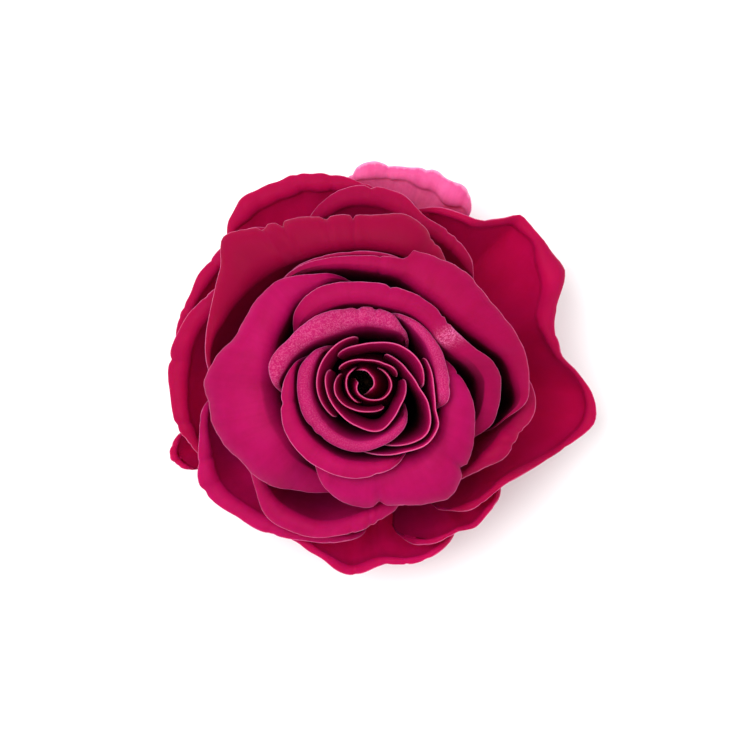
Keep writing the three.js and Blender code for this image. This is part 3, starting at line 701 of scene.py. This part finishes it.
# %% [markdown]
# ## All the petals
# Every petal gets a seed of its own, so its waves and nicks differ from its neighbour's and yet
# come out the same each time. A petal is thinnest at its free edge.
# %% Build the petals
petal_triangles = 0
for number, (name, stations) in enumerate(PETALS.items()):
    points, wide, up, edge, painted_shade, frost_and_sheen = petal_surface(name, stations, 100 + number)
    thick = 0.14 + 0.16 * np.clip(edge / 1.2, 0, 1)
    thick = thick * np.clip(0.6 + up / 12, 0, 1)
    extras = {"across_mm": wide, "up_mm": up, "edge_mm": edge, "painted_shade": painted_shade,
              "frost_and_sheen": frost_and_sheen, "dye_and_shade_redness": np.full_like(up, DYE_AND_SHADE_RED.get(name, 0.0)),
              "lift": 1 + (PAINTED_GLOW.get(name, 1.0) - 1) * np.clip(edge / 4, 0.25, 1),
              "petal_number": np.full_like(up, number * 7.3)}
    mesh = shell_mesh("petal mesh " + name, points, thick, extras)
    slot = "petal_pale" if name == "pale_guard" else "petal"
    add_piece("rose_petal_" + name, mesh, pale_petal if slot == "petal_pale" else dyed_petal,
              slot, "petal_" + name)
    petal_triangles += 2 * len(mesh.polygons)
print("petals:", petal_triangles, "triangles")

# %% [markdown]
# ## Receptacle and stem stub
# The receptacle is the swollen end of the stem. The glycerine leaves it olive and slightly
# wrinkled. Turned shapes are made from a profile spun round the axis, with fine lengthwise ribs.
# %% Plant materials
def plant_material(name, light, dark, ridge_mm, roughness):
    """Dry plant skin: two tones in lengthwise streaks with a fine grain."""
    material, tree, shader = new_material(name)
    place = node(tree, "ShaderNodeTexCoord").outputs["Object"]
    tone = noise(tree, stretch(tree, place, (1.0, 1.0, 0.3)), 1000 / ridge_mm, 5.0, 0.6)
    skin = two_tone(tree, remap(tree, tone, 0.35, 0.65, 0.0, 1.0), dark, light)
    tree.links.new(skin, shader.inputs["Base Color"])
    roughen(tree, shader, tone, 0.6, 0.0002)
    shader.inputs["Roughness"].default_value = roughness
    return material


dry_calyx = plant_material("glycerine-preserved calyx", "#6F7A3C", "#3E4A22", 1.2, 0.75)
cut_stem = plant_material("dry cut rose stem", "#8A7A4E", "#54492A", 0.5, 0.85)
dry_stamen = plant_material("dried stamen", "#6E4424", "#36180C", 0.4, 0.8)


# %% Turned pieces
def turned_mesh(name, profile, sides, ribs, rib_size, leaning):
    """Closed solid of revolution with shallow lengthwise ribs."""
    bm = bmesh.new()
    rings = []
    for r, z in profile[1:-1]:
        ring = []
        for k in range(sides):
            a = 2 * math.pi * k / sides
            wide = r * (1 + rib_size * math.sin(ribs * a + 0.6 * z))
            ring.append((wide * math.cos(a), wide * math.sin(a), z))
        rings.append(ring)

    def vert(p):
        if leaning:
            return bm.verts.new(to_frame(np.array(p)).tolist())
        return bm.verts.new(((p[0] + AXIS_X) * MM, (p[1] + AXIS_Y) * MM, p[2] * MM))

    rings = [[vert(p) for p in ring] for ring in rings]
    low, high = vert((0, 0, profile[0][1])), vert((0, 0, profile[-1][1]))
    for k in range(sides):
        j = (k + 1) % sides
        bm.faces.new((low, rings[0][j], rings[0][k]))
        bm.faces.new((high, rings[-1][k], rings[-1][j]))
        for one, two in zip(rings[:-1], rings[1:]):
            bm.faces.new((one[k], one[j], two[j], two[k]))
    mesh = bpy.data.meshes.new(name)
    bm.to_mesh(mesh)
    bm.free()
    mesh.shade_smooth()
    return mesh


def rounded(profile, per_span):
    """More points on a profile, through a smooth curve of its own length."""
    table = [[i, r, z] for i, (r, z) in enumerate(profile)]
    read = smooth_table(table)
    return [tuple(read(i / per_span)) for i in range((len(profile) - 1) * per_span + 1)]


hip = [(0, 2.5), (3.2, 2.5), (4.8, 3.4), (5.6, 4.5)]
for opening in (32, 24, 16, 12, 9, 6, 3, 0):
    hip.append((float(claw_radius(opening)) - 0.5, float(claw_height(opening)) - 0.35))
hip_body = rounded(hip[1:], 3)
hip_profile = [(0, 2.5), *hip_body, (0, 14.8)]
add_piece("receptacle_skin", turned_mesh("receptacle mesh", hip_profile, 120, 15, 0.012, True),
          dry_calyx, "calyx", "receptacle")
stub_profile = [(0, 0), (1.4, 0.05), (2.9, 0), (3.06, 0.12),
                (3.08, 1.0), (3.0, 1.9), (2.9, 2), (0, 2)]
add_piece("stem_stub_cut", turned_mesh("stub mesh", stub_profile, 90, 9, 0.015, False),
          cut_stem, "stem", "stem_stub")
print("receptacle and stub made")

# %% [markdown]
# ## Sepals
# Five narrow green leaves wrapped the bud and folded back when it opened. They taper to a point,
# and one or two small side points grow from the margin. Here they carry the flower's weight, so
# each keeps the arch of its solid and its tip on the table.
# %% Sepals
def sepal_surface(bearing, seed):
    """Points of one folded-back sepal in mm, from its root to its tip."""
    rng = np.random.default_rng(seed)
    t = np.linspace(0, 1, 48)[:, None]
    s = np.linspace(-1, 1, 21)[None, :]
    half = 2.6 * np.sin(np.pi * (0.22 + 0.74 * t)) ** 0.8 + 0.1
    half = half * (1 + 0.05 * np.sin(9 * t * np.pi + rng.uniform(0, 6)))
    r = 4.6 + 10.5 * t + 0 * s
    z = 1.5 + 1.1 * np.sin(np.pi * t ** 0.9) - 1.15 * t + 0.35 * (1 - t) * s * s
    z = z - 0.12 * np.exp(-(s / 0.12) ** 2) * (1 - t)
    side = s * half
    a = math.radians(bearing)
    x = r * math.cos(a) - side * math.sin(a)
    y = r * math.sin(a) + side * math.cos(a)
    return np.stack([x, y, z], -1)


for k in range(5):
    low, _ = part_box("sepal_%d" % (k + 1))
    grid = sepal_surface(18 + 72 * k, 50 + k)
    rows, columns = grid.shape[:2]
    from_tip = np.linspace(0, 1, rows)[::-1, None] * 10
    from_margin = (1 - np.abs(np.linspace(-1, 1, columns)))[None, :] * 2.6
    edge = np.minimum(from_tip, from_margin)
    thick = 0.25 + 0.3 * np.clip(edge / 1.0, 0, 1)
    # Sepals lie on the table and don't lean, so the lean that to_frame adds is taken off first.
    c, s = math.cos(LEAN), math.sin(LEAN)
    unleaned = np.stack([grid[..., 0], grid[..., 1] * c + grid[..., 2] * s,
                         -grid[..., 1] * s + grid[..., 2] * c], -1)
    mesh = shell_mesh("sepal mesh %d" % k, unleaned, thick, {})
    lowest = min(v.co.z for v in mesh.vertices)
    mesh.transform(Matrix.Translation((0, 0, low[2] - lowest)))
    add_piece("sepal_leaf_%d" % (k + 1), mesh, dry_calyx, "calyx", "sepal_%d" % (k + 1))
print("sepals made")

# %% [markdown]
# ## Stamens
# A rose has dozens of stamens in a ring round the pistil: a thread with a small pollen sac on
# top. One thread is modelled, and Geometry Nodes copy it round the ring with a fixed seed, so
# the ring can be made fuller or wider by one number.
# %% Stamens with Geometry Nodes
def stamen_thread():
    """One stamen, standing on the origin, in metres."""
    bm = bmesh.new()
    profile = [(0.11, 0), (0.08, 2.2), (0.07, 3.9), (0.24, 4.2), (0.27, 4.6), (0.14, 4.9)]
    corners = [(math.cos(k * math.pi / 3), math.sin(k * math.pi / 3)) for k in range(6)]
    rings = []
    for r, z in profile:
        rings.append([bm.verts.new((r * x * MM, r * y * MM, z * MM)) for x, y in corners])
    for one, two in zip(rings[:-1], rings[1:]):
        for k in range(6):
            bm.faces.new((one[k], one[(k + 1) % 6], two[(k + 1) % 6], two[k]))
    bm.faces.new(rings[0][::-1])
    bm.faces.new(rings[-1])
    mesh = bpy.data.meshes.new("stamen thread")
    bm.to_mesh(mesh)
    bm.free()
    return bpy.data.objects.new("stamen thread", mesh)


def stamen_tree(thread):
    """Node tree that copies the thread round a ring, and its input sockets."""
    tree = bpy.data.node_groups.new("stamen ring", "GeometryNodeTree")
    sockets = {}
    tree.interface.new_socket("Geometry", in_out="INPUT", socket_type="NodeSocketGeometry")
    for name, kind in (("Count", "NodeSocketInt"), ("Ring radius", "NodeSocketFloat"),
                       ("Seed", "NodeSocketInt")):
        sockets[name] = tree.interface.new_socket(name, in_out="INPUT", socket_type=kind).identifier
    tree.interface.new_socket("Geometry", in_out="OUTPUT", socket_type="NodeSocketGeometry")
    given = node(tree, "NodeGroupInput")
    ring = node(tree, "GeometryNodeMeshCircle",
                {"Vertices": given.outputs["Count"], "Radius": given.outputs["Ring radius"]})
    thread_info = node(tree, "GeometryNodeObjectInfo", inputs={"Object": thread})
    size = node(tree, "FunctionNodeRandomValue", {"Seed": given.outputs["Seed"]}, data_type="FLOAT",
                inputs={2: 0.85, 3: 1.15})
    tilt = node(tree, "FunctionNodeRandomValue", {"Seed": given.outputs["Seed"]},
                data_type="FLOAT_VECTOR", inputs={0: (-0.05, -0.05, 0.0), 1: (0.05, 0.05, 6.28)})
    copies = node(tree, "GeometryNodeInstanceOnPoints",
                  {"Points": ring.outputs[0], "Instance": thread_info.outputs["Geometry"],
                   "Rotation": tilt.outputs[0], "Scale": size.outputs[1]})
    real = node(tree, "GeometryNodeRealizeInstances", {"Geometry": copies.outputs[0]})
    painted = node(tree, "GeometryNodeSetMaterial", {"Geometry": real.outputs[0]},
                   inputs={"Material": dry_stamen})
    node(tree, "NodeGroupOutput", {0: painted.outputs[0]})
    return tree, sockets


def grow_ring(tree, sockets, count, radius, seed):
    """Evaluate the ring once and return it as a plain mesh."""
    holder = bpy.data.objects.new("ring holder", bpy.data.meshes.new("ring holder"))
    bpy.context.scene.collection.objects.link(holder)
    modifier = holder.modifiers.new("ring", "NODES")
    modifier.node_group = tree
    modifier[sockets["Count"]] = count
    modifier[sockets["Ring radius"]] = radius
    modifier[sockets["Seed"]] = seed
    ready = holder.evaluated_get(bpy.context.evaluated_depsgraph_get())
    mesh = bpy.data.meshes.new_from_object(ready)
    holder.modifiers.remove(modifier)
    bpy.data.objects.remove(holder)
    return mesh


thread = stamen_thread()
tree, sockets = stamen_tree(thread)
outer_ring = grow_ring(tree, sockets, 14, 1.75 * MM, 3)
inner_ring = grow_ring(tree, sockets, 9, 1.2 * MM, 4)
bm = bmesh.new()
bm.from_mesh(outer_ring)
bm.from_mesh(inner_ring)
stamen_mesh = bpy.data.meshes.new("stamens")
bm.to_mesh(stamen_mesh)
bm.free()
stamen_mesh.transform(Matrix.Translation((AXIS_X * MM, AXIS_Y * MM, 0))
                      @ Matrix.Rotation(LEAN, 4, "X") @ Matrix.Translation((0, 0, 15.1 * MM)))
stamen_mesh.shade_smooth()
add_piece("stamens", stamen_mesh, dry_stamen, "stamen", *["stamen_%d" % k for k in range(1, 9)])
styles = rounded([(0.55, 15.1), (0.5, 18.1), (0.8, 18.7), (0.6, 19.3)], 5)
pistil_profile = [(0, 15.1), *styles, (0, 19.5)]
add_piece("pistil_styles", turned_mesh("pistil mesh", pistil_profile, 32, 7, 0.06, True),
          dry_stamen, "stamen", "pistil")
bpy.data.objects.remove(thread)
print("stamens:", len(stamen_mesh.polygons), "faces")

# %% [markdown]
# ## Table, light and camera
# A white table and two big soft lights, the stronger on the left, keep the shadows faint.
# A camera with a long lens looks straight down the leaning flower, so its rings stay round.
# %% Stage
def white_table():
    """The table under the flower, which is stage and not part of it."""
    material, tree, shader = new_material("white table")
    shader.inputs["Base Color"].default_value = linear("#F6F6F6")
    shader.inputs["Roughness"].default_value = 0.9
    mesh = bpy.data.meshes.new("table")
    mesh.from_pydata([(-2, -2, 0), (2, -2, 0), (2, 2, 0), (-2, 2, 0)], [], [(0, 1, 2, 3)])
    mesh.materials.append(material)
    floor = bpy.data.objects.new("table", mesh)
    bpy.context.scene.collection.objects.link(floor)


def soft_light(name, place, aim, size, power):
    """A round soft light that faces a place."""
    lamp = bpy.data.lights.new(name, "AREA")
    lamp.shape = "DISK"
    lamp.size = size
    lamp.energy = power
    lit = bpy.data.objects.new(name, lamp)
    lit.location = place
    lit.rotation_euler = (Vector(aim) - Vector(place)).to_track_quat("-Z", "Y").to_euler()
    bpy.context.scene.collection.objects.link(lit)


white_table()
soft_light("window left", (-0.22, 0.02, 0.66), (0, 0, 0.03), 0.44, 4.2)
soft_light("window right", (0.26, 0.14, 0.66), (0, 0, 0.03), 0.50, 1.1)
world = bpy.data.worlds.new("studio")
world.use_nodes = True
world.node_tree.nodes["Background"].inputs["Color"].default_value = (1, 1, 1, 1)
world.node_tree.nodes["Background"].inputs["Strength"].default_value = 0.9
scene = bpy.context.scene
scene.world = world
scene.view_settings.view_transform = "Standard"

# %% [markdown]
# ## Camera
# The lens is long and stands 400 mm off, so from the crest down to the table the scale changes
# by only about a tenth.
# %% Camera
FAR = 0.400      # camera to the top of the flower
FIELD = 0.1042   # width seen there
aim = Vector(to_frame(np.array([1.11, 1.11, 42.0])).tolist())
towards = Vector((0, -math.sin(LEAN), math.cos(LEAN)))
lens = bpy.data.cameras.new("camera")
lens.sensor_width = 36
lens.lens = 36 * FAR / FIELD
camera = bpy.data.objects.new("camera", lens)
camera.location = aim + towards * FAR
camera.rotation_euler = (-towards).to_track_quat("-Z", "Y").to_euler()
bpy.context.scene.collection.objects.link(camera)
scene.camera = camera
print("camera at", [round(v, 3) for v in camera.location])
